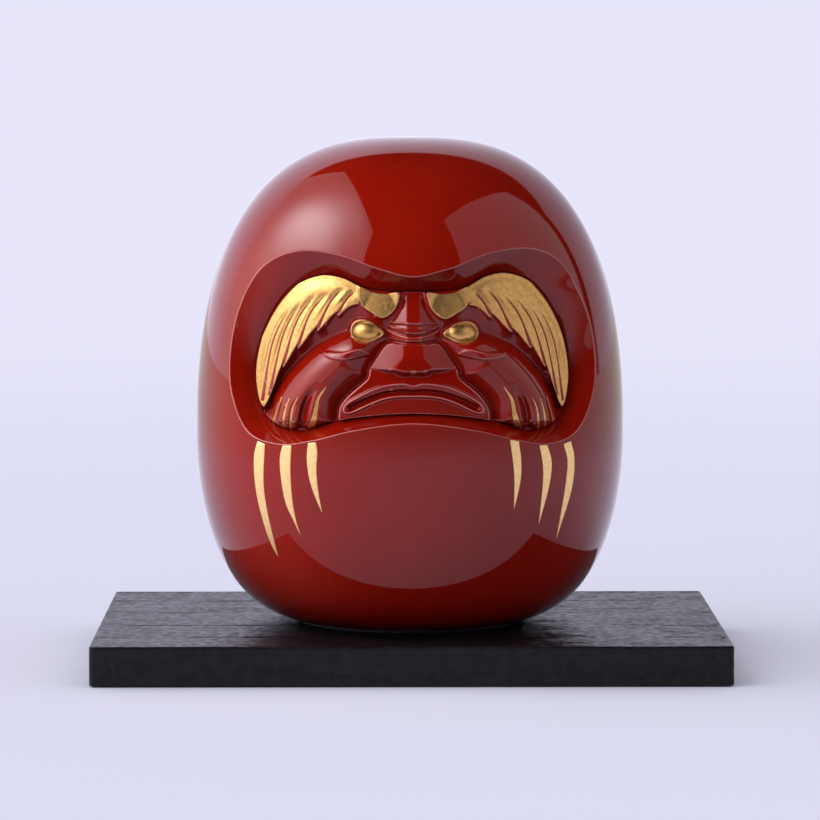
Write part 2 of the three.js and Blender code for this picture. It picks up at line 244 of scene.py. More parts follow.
def mesh_object(name, points, quads, triangles=(), offset=(0, 0, 0)):
    """A smooth mesh from points in millimetres, with its object at the origin."""
    mesh = bpy.data.meshes.new(name)
    corners = np.concatenate([np.array(quads, int).ravel(), np.array(triangles, int).ravel()])
    sizes = np.concatenate([np.full(len(quads), 4), np.full(len(triangles), 3)])
    starts = np.concatenate([[0], np.cumsum(sizes)[:-1]])
    co = (np.array(points, float) + offset) * MM
    mesh.vertices.add(len(co))
    mesh.vertices.foreach_set("co", co.astype(np.float32).ravel())
    mesh.loops.add(len(corners))
    mesh.loops.foreach_set("vertex_index", corners.astype(np.int32))
    mesh.polygons.add(len(sizes))
    mesh.polygons.foreach_set("loop_start", starts.astype(np.int32))
    mesh.polygons.foreach_set("use_smooth", [True] * len(sizes))
    mesh.update(calc_edges=True)
    mesh.validate()
    piece = bpy.data.objects.new(name, mesh)
    bpy.context.scene.collection.objects.link(piece)
    return piece


def band(row, other):
    """Quads between two closed rows of point indices."""
    return np.stack([row, other, np.roll(other, -1), np.roll(row, -1)], axis=1)


def stack_rings(rings, base=0):
    """Points, quads and end triangles of a skin over equal rings. base is the index of its first point."""
    count = len(rings[0])
    points = np.concatenate(rings + [rings[0].mean(0)[None], rings[-1].mean(0)[None]])
    rows = [base + k * count + np.arange(count) for k in range(len(rings))]
    quads = [band(row, other)[:, [0, 3, 2, 1]] for row, other in zip(rows[:-1], rows[1:])]
    first_end = np.full(count, base + len(rings) * count)
    opening = np.stack([first_end, np.roll(rows[0], -1), rows[0]], axis=1)
    closing = np.stack([first_end + 1, rows[-1], np.roll(rows[-1], -1)], axis=1)
    return points, np.concatenate(quads), np.concatenate([opening, closing])


def grid_cells(rows, columns):
    """The corner indices of each cell in a grid of points, and the grid's rim in the same sense."""
    index = np.arange(rows * columns).reshape(rows, columns)
    cells = np.stack([index[:-1, :-1], index[:-1, 1:], index[1:, 1:], index[1:, :-1]], axis=-1)
    rim = np.concatenate([index[0, :-1], index[:-1, -1], index[-1, :0:-1], index[:0:-1, 0]])
    return cells, rim


def skirt(rim, rings, base):
    """Quads from a grid's rim over rings that start at an index, and triangles to the point after them."""
    count = len(rim)
    rows = [rim] + [base + k * count + np.arange(count) for k in range(len(rings))]
    quads = [band(row, other) for row, other in zip(rows[:-1], rows[1:])]
    middle = np.full(count, base + len(rings) * count)
    fan = np.stack([rows[-1], middle, np.roll(rows[-1], -1)], axis=1)
    return quads, fan


def add_to_doll(piece, slot, *nodes):
    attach(piece, "doll")
    if nodes:
        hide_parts(*nodes)


# ---- Node helpers ----


class Nodes:
    """Adds nodes to a material's or world's tree and links them."""

    def __init__(self, owner):
        owner.use_nodes = True
        self.tree = owner.node_tree
        self.tree.nodes.clear()

    def add(self, kind, inputs=None, **settings):
        node = self.tree.nodes.new(kind)
        for key, value in settings.items():
            setattr(node, key, value)
        for key, value in (inputs or {}).items():
            self.set(node.inputs[key], value)
        return node

    def set(self, socket, value):
        if isinstance(value, bpy.types.Node):
            value = value.outputs[0]
        if isinstance(value, bpy.types.NodeSocket):
            self.tree.links.new(value, socket)
        else:
            socket.default_value = value

    def math(self, operation, *values):
        node = self.add("ShaderNodeMath", operation=operation)
        for socket, value in zip(node.inputs, values):
            self.set(socket, value)
        return node.outputs[0]

    def product(self, first, *others):
        for value in others:
            first = self.math("MULTIPLY", first, value)
        return first

    def total(self, first, *others):
        for value in others:
            first = self.math("ADD", first, value)
        return first

    def ramp(self, value, low, high, out_low=0.0, out_high=1.0):
        """A smooth step from one output to the other while the value goes from low to high."""
        return self.add(
            "ShaderNodeMapRange",
            {"Value": value, 1: low, 2: high, 3: out_low, 4: out_high},
            interpolation_type="SMOOTHSTEP",
        ).outputs[0]

    def noise(self, scale, detail, roughness=0.5):
        inputs = {"Scale": scale, "Detail": detail, "Roughness": roughness, "Vector": self.place()}
        return self.add("ShaderNodeTexNoise", inputs).outputs["Fac"]

    def place(self):
        return self.add("ShaderNodeTexCoord").outputs["Object"]

    def mix(self, factor, first, second):
        node = self.add("ShaderNodeMix", data_type="RGBA")
        self.set(node.inputs[0], factor)
        self.set(node.inputs[6], first)
        self.set(node.inputs[7], second)
        return node.outputs[2]

    def blend(self, factor, first, second):
        return self.add("ShaderNodeMixShader", {0: factor, 1: first, 2: second})

    def paint(self, colour):
        return self.add("ShaderNodeBsdfDiffuse", {"Color": colour})

    def glow(self, colour, strength):
        return self.add("ShaderNodeEmission", {"Color": colour, "Strength": strength})

    def bump(self, height, strength, distance):
        inputs = {"Height": height, "Strength": strength, "Distance": distance}
        return self.add("ShaderNodeBump", inputs).outputs[0]


def material(name, base, roughness, normal=None, **constants):
    """A Principled material. base, roughness and normal are functions of the node helper."""
    made = bpy.data.materials.new(name)
    nodes = Nodes(made)
    shader = nodes.add("ShaderNodeBsdfPrincipled")
    for key, value in constants.items():
        shader.inputs[key].default_value = value
    nodes.set(shader.inputs["Base Color"], base(nodes))
    nodes.set(shader.inputs["Roughness"], roughness(nodes))
    if normal:
        nodes.set(shader.inputs["Normal"], normal(nodes))
    output = nodes.add("ShaderNodeOutputMaterial")
    nodes.set(output.inputs["Surface"], shader.outputs[0])
    return made


def cover(piece, *materials):
    piece.data.materials.clear()
    for made in materials:
        piece.data.materials.append(made)


# ---- Materials ----

RED_DEEP, RED_POOLED = (0.127, 0.0027, 0.0005, 1), (0.14, 0.0032, 0.0005, 1)
# The pale red that is mixed into the lacquer as a painted highlight.
RED_PAINTED_HIGHLIGHT = (0.34, 0.12, 0.115, 1)
BLACK_DEEP, BLACK_WORN = (0.0018, 0.002, 0.0036, 1), (0.0045, 0.005, 0.0073, 1)
STEEL_DARK, STEEL_LIGHT = (0.42, 0.43, 0.45, 1), (0.6, 0.61, 0.62, 1)


def lacquer_material(name, painted_highlight):
    """Red lacquer, with a pale red mixed in as a painted highlight; the argument gives its share at each
    place.
    """

    def base(n):
        pooled = n.ramp(n.noise(35, 4), 0.35, 0.7)
        return n.mix(painted_highlight(n), n.mix(pooled, RED_DEEP, RED_POOLED), RED_PAINTED_HIGHLIGHT)

    def roughness(n):
        return n.ramp(n.noise(120, 5), 0.3, 0.8, 0.02, 0.045)

    def normal(n):
        return n.bump(n.noise(260, 2), 0.02, 0.0002)

    return material(name, base, roughness, normal, IOR=1.4)


def no_painted_highlight(n):
    """A painted highlight so faint that it doesn't show."""
    return n.ramp(n.noise(35, 4), 0.3, 0.7, 0.0, 0.004)


def painted_highlight_at_sharp_edges(n):
    # A painted highlight: pale red on the sharp convex edges of the face.
    pointed = n.add("ShaderNodeNewGeometry").outputs["Pointiness"]
    return n.ramp(pointed, 0.514, 0.55, 0.0, 0.6)


def painted_highlight_all_over(n):
    # A painted highlight over all the faces it is given, varied a little at random.
    return n.ramp(n.noise(90, 3), 0.3, 0.7, 0.3, 0.6)


def gold_material(name, light, dark, rough):
    def base(n):
        return n.mix(n.ramp(n.noise(900, 4, 0.6), 0.3, 0.7), dark, light)

    def roughness(n):
        return n.ramp(n.noise(1500, 3), 0.3, 0.7, rough - 0.06, rough + 0.08)

    def normal(n):
        return n.bump(n.noise(2600, 4, 0.7), 0.25, 0.00012)

    return material(name, base, roughness, normal, Metallic=1.0)


def leather_material():
    def base(n):
        return n.mix(n.ramp(n.noise(300, 5), 0.35, 0.65), BLACK_DEEP, BLACK_WORN)

    def roughness(n):
        return n.ramp(n.noise(500, 4), 0.3, 0.7, 0.3, 0.46)

    def normal(n):
        cells = n.add("ShaderNodeTexVoronoi", {"Vector": n.place(), "Scale": 900.0}, feature="F1")
        grain = n.product(cells.outputs["Distance"], 0.6)
        return n.bump(n.total(grain, n.noise(2200, 3)), 0.3, 0.00015)

    return material("leather_black", base, roughness, normal, IOR=1.3)


def steel_material():
    def base(n):
        return n.mix(n.noise(800, 3), STEEL_DARK, STEEL_LIGHT)

    def roughness(n):
        return n.ramp(n.noise(1200, 3), 0.3, 0.7, 0.25, 0.42)

    def normal(n):
        return n.bump(n.noise(3000, 2), 0.1, 0.0001)

    return material("steel_plated", base, roughness, normal, Metallic=1.0)


def rough_material(name, light, dark, scale, grain, depth, rough, **constants):
    """A matt material. scale is that of its patches, grain that of its bumps, depth in metres."""

    def base(n):
        return n.mix(n.ramp(n.noise(scale, 5, 0.6), 0.35, 0.65), dark, light)

    def roughness(n):
        return n.ramp(n.noise(scale * 2, 2), 0.3, 0.7, rough - 0.08, rough)

    def normal(n):
        return n.bump(n.noise(grain, 4, 0.7), 0.6, depth)

    return material(name, base, roughness, normal, **constants)


LACQUER = lacquer_material("lacquer_red", no_painted_highlight)
# The face's lacquer carries a painted highlight on its sharp edges.
LACQUER_FACE = lacquer_material("lacquer_red_face_edge_highlight", painted_highlight_at_sharp_edges)
# The rim's lacquer is a pale painted highlight line.
LACQUER_RIM_HIGHLIGHT = lacquer_material("lacquer_red_rim_highlight", painted_highlight_all_over)
GOLD = gold_material("gold_paint", (0.70, 0.40, 0.14, 1), (0.54, 0.29, 0.09, 1), 0.4)
GOLD_FLAT = gold_material("gold_brushed_on", (0.95, 0.66, 0.31, 1), (0.86, 0.57, 0.25, 1), 0.5)
LEATHER = leather_material()
STEEL = steel_material()
FELT = rough_material(
    "felt_black", (0.012, 0.011, 0.012, 1), (0.005, 0.005, 0.006, 1), 900, 2600, 0.0003, 1.0, IOR=1.1
)
PLASTER = rough_material("plaster", (0.68, 0.65, 0.57, 1), (0.55, 0.52, 0.45, 1), 160, 900, 0.0003, 0.95)
FIBREBOARD = rough_material(
    "fibreboard", (0.36, 0.22, 0.11, 1), (0.24, 0.14, 0.07, 1), 1400, 2400, 0.0002, 0.9
)
CARD = rough_material(
    "backing_card", (0.02, 0.02, 0.023, 1), (0.011, 0.011, 0.013, 1), 500, 2000, 0.0001, 0.9
)


# ---- The doll's body ----

RAYS = 456
OUTER_RINGS = 138
RIM_ROUND = 0.6
RIM_BEAD = 0.08
RIM_STEPS = 9
# The rings of the rounded rim that carry a painted highlight line, counted from the inner one.
RIM_LINE = (4, 7)
WALL_STEPS = 20
WALL_DEPTH = 6.2
WALL_SLOPE = 0.93
FLOOR_SHARES = (0.2, 0.5, 0.8, 1)
FLOOR_MARGIN = 0.12
NEAR_RIM = (0.0016, 0.005, 0.011)
SKIN_START = 0.018
HOLLOW_SIDES, HOLLOW_RINGS = 96, 42


def body_shell():
    """The outer skin from the window's rim to the back, the recess with its rounded rim, and the hollow."""
    angles = 2 * np.pi * np.arange(RAYS) / RAYS
    rim = outline_reach(WINDOW_HALF, angles)
    floor_edge = outline_reach(MASK_HALF, angles) + FLOOR_MARGIN

    def seen(reach):
        return settled(reach * np.sin(angles), WINDOW_CENTRE + reach * np.cos(angles))

    def at(reach, inset):
        x, z = seen(reach)
        return np.stack([x, body_front(x, z, inset), z], axis=1)

    # Where the rounding starts outside the rim, less where the surface turns away from the front.
    rim_x, rim_z = seen(rim)
    start = RIM_ROUND * np.abs(body_front(rim_x, rim_z)) / body_radius(rim_z)
    width = rim - floor_edge

    def wall(share):
        return at(rim - width * share, WALL_DEPTH * (WALL_SLOPE * share + (1 - WALL_SLOPE) * share**3))

    rings = [at(floor_edge * share, WINDOW_DEPTH) for share in FLOOR_SHARES]
    shares = np.linspace(1, 0, WALL_STEPS, endpoint=False)
    landing = RIM_ROUND / width.mean()
    rings += [wall(share) for share in shares if share > landing]
    outer, corner, inner = at(rim + start, 0), at(rim, 0), wall(landing)
    rim_start = len(rings)
    for t in np.linspace(0, 1, RIM_STEPS + 2):
        bead = (0, RIM_BEAD * math.sin(math.pi * t) ** 2, 0)
        rings.append((1 - t) ** 2 * inner + 2 * t * (1 - t) * corner + t**2 * outer - bead)
    start_x, start_z = outer[:, 0], outer[:, 2] - WINDOW_CENTRE
    first_turn = np.arctan2(np.hypot(start_x, start_z), -outer[:, 1])
    aim = np.arctan2(start_x, start_z)
    for share in np.concatenate([NEAR_RIM, np.linspace(SKIN_START, 1, OUTER_RINGS, endpoint=False)]):
        turn = first_turn + (np.pi - first_turn) * share
        points = body_along(rays_at(turn, aim), 0, FOOT_HEIGHT)
        under = points[:, 2] <= FOOT_HEIGHT + 1e-6
        recessed = under & (np.hypot(points[:, 0], points[:, 1]) < BASE_RECESS_RADIUS)
        points[recessed, 2] = BASE_RECESS_TOP
        rings.append(points)
    points, quads, triangles = stack_rings(rings)
    points[-2] = at(np.zeros(RAYS), WINDOW_DEPTH)[0]
    points[-1] = (0, body_radius(np.array([WINDOW_CENTRE]))[0], WINDOW_CENTRE)

    # The hollow: more such rays, stopped short by the wall, the floor and the back of the window.
    aim = np.linspace(0, 2 * np.pi, HOLLOW_SIDES, endpoint=False)
    limit = outline_reach(WINDOW_HALF, aim) + HOUSING
    hollow = []
    for turn in np.linspace(np.pi, 0, HOLLOW_RINGS)[1:-1]:
        rays = rays_at(turn, aim)
        inside = body_along(rays, WALL, HOLLOW_FLOOR)
        reach = np.hypot(inside[:, 0], inside[:, 2] - WINDOW_CENTRE)
        behind = (inside[:, 1] < 0) & (reach < limit)
        inside[behind] = body_along(rays, WINDOW_DEPTH + HOUSING, HOLLOW_FLOOR)[behind]
        hollow.append(inside)
    lining = stack_rings(hollow, base=len(points))
    joined = [np.concatenate(pair) for pair in zip((points, quads, triangles), lining)]
    shell = mesh_object("body_shell_lacquered", *joined, offset=DOLL_PLACE)
    # A painted highlight: a narrow pale line along the rim.
    cover(shell, LACQUER, LACQUER_RIM_HIGHLIGHT)
    first, last = (rim_start + ring for ring in RIM_LINE)
    paints = np.zeros(len(shell.data.polygons), np.int32)
    paints[first * RAYS : last * RAYS] = 1
    shell.data.polygons.foreach_set("material_index", paints)
    return shell


# ---- The face ----

# Lines and outlines on the face's right half, (x, height), seen from the front.
LOBE = [
    (4, 98.2), (4.4, 95), (5.8, 92.8), (8.3, 91.4), (11.1, 92.8), (13.9, 94.9), (14.6, 97.7), (14.3, 99.9),
    (12.5, 99), (10.7, 98.3), (7.2, 97.9),
]
BROW_TOP = [
    (14.3, 100.4), (19.6, 102.2), (25, 102.8), (29.4, 101.8), (33.7, 98.3), (37.7, 93.3), (41.4, 86.4),
    (43.4, 80.5), (43.8, 73.3), (42.7, 67), (41.9, 65.6),
]
BROW_HAIR = [
    (14.6, 95.2), (17, 94.6), (18.9, 93.2), (20.4, 91.9), (20.4, 93.1), (22.5, 91.5), (24.3, 89.4),
    (26.2, 87.6), (26, 89), (28.2, 86.9), (29.8, 84.7), (31.7, 82.5), (31.5, 84.1), (33, 81.9), (34.4, 79.4),
    (36, 77), (35.8, 78.8), (37.4, 75.2), (38.5, 72), (40.6, 66.8), (41.5, 65.4),
]
HAIR_GROOVES = [
    [(15.5, 98.7), (17.8, 96.5), (20.4, 92.6)],
    [(18.6, 99.6), (22.1, 96.1), (26.1, 88.4)],
    [(23, 98.4), (28, 92.6), (31.6, 83.4)],
    [(26.6, 97.8), (31.8, 90.4), (35.9, 78)],
    [(30.6, 96), (35.6, 86.8), (39.9, 69)],
    [(34, 94.2), (38.8, 84.2), (41.9, 67.4)],
]
EYE_LINE = [
    (5.5, 86.2), (10, 86.6), (17, 87.6), (22.5, 85.5), (26.8, 82.9), (32.2, 78), (36.6, 72.8), (39.5, 68.3),
    (40.9, 63.2),
]
EYE_RIM = [
    (16.9, 87.6), (16.2, 89.7), (14.3, 90.7), (11.5, 90.2), (9.3, 88.6), (8, 87), (9.7, 85.6), (11.8, 84.7),
    (14.1, 84.4), (16.2, 85.6),
]
EYE_LEAF = [
    (25, 81.5), (23.2, 81.9), (19.3, 81.9), (14.6, 82.9), (11.8, 81.4), (15.7, 80.1), (19.3, 79.7),
    (23.2, 80.2),
]
MUZZLE_EDGE = [
    (5.5, 87), (9, 82.5), (12.3, 77.2), (12.6, 74.8), (16.1, 71.2), (18.7, 68.3), (20, 65.8), (20.3, 61),
]
NOSE = [
    (0, 84.2), (3.7, 84.2), (6.9, 84), (9.7, 81), (12, 77.5), (12.2, 75.5), (9, 75.2), (6.9, 76.2),
    (5.4, 76.2), (3.7, 75.1), (0, 75.3),
]
LIP_TOP = [
    (-3, 73), (0, 72.5), (2.6, 73.1), (9, 72.2), (14.3, 69.6), (17.5, 67.4), (18.4, 65.8), (17.6, 64.9),
    (15.2, 65.6),
]
LIP_LOW = [(15.2, 65.6), (10.8, 67.9), (7.2, 69.2), (3.7, 69.7), (0, 69.8), (-3, 69.7)]
MOUTH_SLIT = [(-3, 70.9), (0, 70.7), (2.3, 70.9), (7.2, 70.4), (13.2, 68.1), (16.3, 66.3)]
CHEEK_GROOVE = [(25.2, 72.9), (27.9, 70.2), (29.7, 66.5), (30.9, 59.5)]
LONG_STROKE = [(23.8, 72.2), (26.1, 68.5), (26.9, 64.2), (28.2, 59.8)]
CHEEK_STROKES = [
    [(36.4, 68.7), (37.7, 64.9), (38.9, 61)],
    [(34.2, 68.5), (35.5, 64.7), (36.2, 59)],
    [(31.8, 68.9), (33.3, 65.6), (34, 59)],
]
# Height at the middle, how fast it bends upwards, depth.
BRIDGE_CREASES = ((89.3, 0.0, 0.45), (86.5, 0.045, 0.8), (84.4, 0.012, 0.7))

SOCKET_FLOOR = 0.9
EYE_X, EYE_Z = 13.1, 87.5
EYE_DOME = 2.7
EYE_BOWL = 3.5

FACE_COLUMNS, FACE_ROWS = 420, 218
EDGE_ROUND = 0.12
PAINT_THICK = 0.06
PAINT_TUCK = 0.15
# How much further in the back of the mask's edge lies: share of its width, share of its depth.
MASK_BEHIND = ((1, 0.5), (1, 1), (0.66, 1), (0.33, 1))


def dip(distance, depth, half_width):
    return depth * np.exp(-((distance / half_width) ** 2))


def rounded_rise(distance, radius):
    """0 at an edge and 1 at the radius, like the quarter of a circle; negative and steep outside."""
    t = np.clip(distance / radius, 0, 1)
    return np.sqrt(1 - (1 - t) ** 2) + np.minimum(distance, 0) / radius


def brow_relief(x, z):
    """Height of the brow and of its inner lobe, the depth inside either, and the depth inside the gold,
    which leaves the hair grooves out."""
    top, hair = smooth_curve(BROW_TOP), smooth_curve(BROW_HAIR)
    brow = depth_inside(x, z, np.concatenate([top, hair[::-1], top[:1]]))
    from_top = nearest_on(x, z, top)[0]
    from_hair = nearest_on(x, z, hair)[0]
    share = from_top / (from_top + from_hair + 1e-6)
    crest = 2.6 + 2.2 * rounded_rise(from_top, 4.5) - 0.9 * share**1.6
    crest = crest - 0.6 * (1 - np.minimum(from_hair / 0.45, 1)) ** 2
    height = np.where(brow > 0, crest, crest + 6 * brow)
    lobe = depth_inside(x, z, smooth_curve(LOBE, closed=True))
    scoop = 3.0 + 1.3 * ((x - 9) / 5) ** 2 + 0.3 * ((z - 91.5) / 4) ** 2
    scoop = np.where(lobe > 0, scoop, scoop + 3.5 * lobe)
    clear = np.full(x.shape, 9.0)
    cut = np.zeros(x.shape)
    for groove in HAIR_GROOVES:
        gap, along, _ = nearest_on(x, z, smooth_curve(groove))
        core = 0.2 * smoothstep(0, 0.3, along) + 0.24 * smoothstep(0.6, 1, along)
        clear = np.minimum(clear, gap - core)
        cut = np.maximum(cut, dip(gap, 1.1 * smoothstep(0, 0.25, along), 0.75))
    either = np.maximum(brow, lobe)
    return height - cut, scoop, either, np.minimum(either, clear)


def face_relief(x, z):
    """Height over the recess's floor on the face's right half, and how deep each place lies inside the
    gold of the brow, the eye and the cheek's strokes."""
    inside = depth_inside(x, z, smooth_curve(mirrored(MASK_HALF), closed=True, steps=14))
    brow, scoop, brow_depth, brow_gold = brow_relief(x, z)

    # The eye socket slopes from the brow down to the eye line, where the cheek's edge stands up.
    gap, _, side = nearest_on(x, z, smooth_curve(EYE_LINE))
    above = gap * side
    over, below = np.maximum(above, 0), np.maximum(-above, 0)
    from_brow = np.maximum(-brow_depth, 0)
    climb = over / (over + from_brow + 1e-6)
    socket = 0.5 + 2.6 * climb + 1.0 * np.exp(-from_brow / 0.6) + 4 * np.minimum(above, 0)
    rounding = np.clip(below - 2.5, 0, 4.5)
    from_line = 1.0 + 0.45 * smoothstep(0, 0.3, below) - 9 * over
    from_line = from_line + 1.1 * (np.minimum(below, 2.5) + rounding - rounding**2 / 9) - 0.03 * below
    gap, _, side = nearest_on(x, z, smooth_curve(MUZZLE_EDGE))
    from_muzzle = gap * side
    from_valley = 1.1 + 0.9 * from_muzzle
    cheek = soft_min(soft_min(from_line, from_valley, 2.0), 1.5 + 5.2 * rounded_rise(inside, 5), 0.4)

    # The muzzle carries the mouth and ends under the nose.
    muzzle = 1.6 + 2.3 * rounded_rise(-from_muzzle, 0.4) + 0.4 * (x / 13) ** 2
    muzzle = muzzle - 0.12 * np.maximum(z - 71, 0) - 6 * np.maximum(z - 77, 0)
    height = soft_max(soft_max(cheek, socket, 0.12), np.full(x.shape, SOCKET_FLOOR), 0.3)
    height = soft_max(height, muzzle, 0.15)

    # The bridge of the nose: a flat front with sloping sides and creases across it.
    bridge = 3.0 + 0.3 * np.minimum(98 - z, 8) - 0.15 * np.maximum(90 - z, 0)
    bridge = bridge - 1.5 * np.maximum(83.5 - z, 0)
    bridge = bridge - 0.68 * soft_max(x - 1.9, np.zeros(x.shape), 0.4)
    for middle, bend, depth in BRIDGE_CREASES:
        bridge = bridge - dip(z - middle - bend * x**2, depth, 0.38) * smoothstep(9, 6, x)
    height = soft_max(height, bridge, 0.4)

    # The nose: it slopes up to its tip and turns back under it, inside a rounded edge.
    in_nose = depth_inside(x, z, smooth_curve(mirrored(NOSE), closed=True))
    top = 4.5 + (84.2 - z) * 0.33
    under = 4.4 + (z - 75.6) * 1.35
    away = soft_max(x - 2.6, np.zeros(x.shape), 0.6)
    edge = 2.6 + 3.2 * rounded_rise(in_nose, 0.9)
    nose = soft_min(soft_min(top, under, 0.3) - 0.36 * away, edge, 0.3)
    height = soft_max(height, nose, 0.2)

    # The brow and its lobe lie over the socket.
    height = np.where(brow_depth > -1.5, soft_max(height, soft_max(brow, scoop, 0.08), 0.1), height)

    # The eye: a rim, a narrow gap and a dome drawn out to a point towards the nose.
    rim = depth_inside(x, z, smooth_curve(EYE_RIM, closed=True))
    across = np.where(x > EYE_X, (x - EYE_X) / 3.2, (x - EYE_X) / 4.1)
    dome = EYE_DOME + 2.2 * np.sqrt(np.maximum(1 - across**2 - ((z - EYE_Z) / 2.6) ** 2, 0))
    bowl = EYE_BOWL - 0.9 * smoothstep(0.15, 0.8, rim)
    eye = np.where(rim > 0, np.maximum(bowl, dome), EYE_BOWL + 3 * rim)
    height = np.where(rim > 0, eye, soft_max(height, eye, 0.2))

    # A raised leaf under the eye.
    leaf = depth_inside(x, z, smooth_curve(EYE_LEAF, closed=True))
    height = height + 0.6 * smoothstep(-0.1, 0.3, leaf)

    # The mouth: one rolled rim right round it, with the slit inside.
    lips = np.concatenate([smooth_curve(LIP_TOP), smooth_curve(LIP_LOW)])
    rim_gap = nearest_on(x, z, lips)[0]
    in_lips = depth_inside(x, z, np.concatenate([lips, lips[:1]]))
    slit_gap = nearest_on(x, z, smooth_curve(MOUTH_SLIT))[0]
    height = height + dip(rim_gap, 0.65, 0.4) + 0.2 * smoothstep(0, 0.8, np.minimum(in_lips, rim_gap))
    height = height - dip(slit_gap, 1.6, 0.62)

    # The groove beside the muzzle, and the strokes, painted in shallow grooves of their own.
    gap, along, _ = nearest_on(x, z, smooth_curve(CHEEK_GROOVE))
    height = height - dip(gap, 2.0 * smoothstep(0, 0.6, along), 0.9 + 0.35 * along)
    gap, along, _ = nearest_on(x, z, smooth_curve(LONG_STROKE))
    stroke_gold = 0.12 + 0.85 * along - gap
    height = height - dip(gap, 0.25 * smoothstep(0, 0.4, along), 0.9)
    for stroke in CHEEK_STROKES:
        gap, along, _ = nearest_on(x, z, smooth_curve(stroke))
        stroke_gold = np.maximum(stroke_gold, 0.1 + 0.33 * along - gap)
        height = height - dip(gap, 0.4 * smoothstep(0, 0.4, along), 0.6)

    # The mask's edge: a low ledge along it, and its own rounding.
    height = soft_max(height, 2.0 - 1.1 * inside, 0.25)
    height = height - EDGE_ROUND * (1 - rounded_rise(np.maximum(inside, 0), EDGE_ROUND))
    return height, brow_gold, rim + 0.05, stroke_gold


def face_grid():
    """Places seen from the front, (x, height), in rows and columns that fill the mask's outline."""
    curve = smooth_curve(mirrored(MASK_HALF), closed=True, steps=60)[:-1]
    right = int(np.argmax(curve[:, 0]))
    left = int(np.argmin(curve[:, 0]))
    top = np.concatenate([curve[left:], curve[: right + 1]])
    bottom = curve[right : left + 1][::-1]
    length = distances_along(top)
    share = np.linspace(0.006, 0.994, FACE_COLUMNS + 1)
    x = np.interp(share * length[-1], length, top[:, 0])
    x = (x - x[::-1]) / 2
    high = np.interp(x, top[:, 0], top[:, 1])
    low = np.interp(x, bottom[:, 0], bottom[:, 1])
    high, low = (high + high[::-1]) / 2, (low + low[::-1]) / 2
    even = np.linspace(0, 1, FACE_ROWS + 1)[:, None]
    row = even - 0.4 * np.sin(2 * np.pi * even) / (2 * np.pi)
    return np.broadcast_to(x, (FACE_ROWS + 1, FACE_COLUMNS + 1)), low + (high - low) * row


def on_mask(x, z, height):
    x, z = settled(x, z)
    return np.stack([x, body_front(x, z, WINDOW_DEPTH - height), z], axis=-1)


def face_pieces():
    """The mask, and the gold that lies on it, all on one grid so that the paint's edges stay exact."""
    x, z = face_grid()
    half = FACE_COLUMNS // 2
    fields = face_relief(x[:, half:].copy(), z[:, half:])
    height, brow_gold, eye_gold, stroke_gold = (np.concatenate([f[:, :0:-1], f], axis=1) for f in fields)
    cells, rim = grid_cells(*x.shape)
    front = on_mask(x, z, height).reshape(-1, 3)
    edge_x, edge_y, edge_z = front[rim].T
    rings = []
    for share, depth in MASK_BEHIND:
        back_x = edge_x * share
        back_z = WINDOW_CENTRE + (edge_z - WINDOW_CENTRE) * share
        back = body_front(back_x, back_z, MASK_BACK)
        rings.append(np.stack([back_x, edge_y + (back - edge_y) * depth, back_z], axis=1))
    centre = (0, body_front(np.zeros(1), np.full(1, WINDOW_CENTRE), MASK_BACK)[0], WINDOW_CENTRE)
    points = np.concatenate([front] + rings + [[centre]])
    walls, fan = skirt(rim, rings, len(front))
    faces = np.concatenate([cells.reshape(-1, 4)] + walls)
    mask = mesh_object("face_mask_carved", points, faces, fan, offset=DOLL_PLACE)

    def gold_piece(name, depth, side, below, reach):
        """A plate over the cells within reach of the gold; past the gold it tucks under the mask. Its
        underside lies this far below the mask's front."""
        lift = np.clip(depth, -PAINT_TUCK, PAINT_THICK)
        near = depth > -reach
        used = near[:-1, :-1] | near[1:, :-1] | near[:-1, 1:] | near[1:, 1:]
        keep = np.zeros_like(used)
        keep[:, side] = used[:, side]
        upper = on_mask(x, z, height + lift).reshape(-1, 3)
        lower = on_mask(x, z, np.minimum(height + lift, height) - below).reshape(-1, 3)
        faces = [cells[keep], cells[keep][:, ::-1] + len(upper)]
        padded = np.pad(keep, 1)
        for corner, (down, across) in enumerate(((-1, 0), (0, 1), (1, 0), (0, -1))):
            neighbour = padded[1 + down :, 1 + across :][: keep.shape[0], : keep.shape[1]]
            open_side = cells[keep & ~neighbour]
            first, second = open_side[:, corner], open_side[:, (corner + 1) % 4]
            faces.append(np.stack([second, first, first + len(upper), second + len(upper)], axis=1))
        faces = np.concatenate(faces)
        used_points, renumbered = np.unique(faces, return_inverse=True)
        points = np.concatenate([upper, lower])[used_points]
        return mesh_object(name, points, renumbered.reshape(faces.shape), offset=DOLL_PLACE)

    golds = {}
    for hand, side in (("left", slice(0, half)), ("right", slice(half, None))):
        golds["brow_" + hand] = gold_piece(f"brow_{hand}_gold", brow_gold, side, 0.9, 0.4)
        golds["eye_" + hand] = gold_piece(f"eye_{hand}_gold", eye_gold, side, 0.9, 0.25)
        golds["strokes_" + hand] = gold_piece(f"cheek_strokes_{hand}", stroke_gold, side, 0.4, 0.25)
    return mask, golds


# ---- Gold strokes on the belly ----

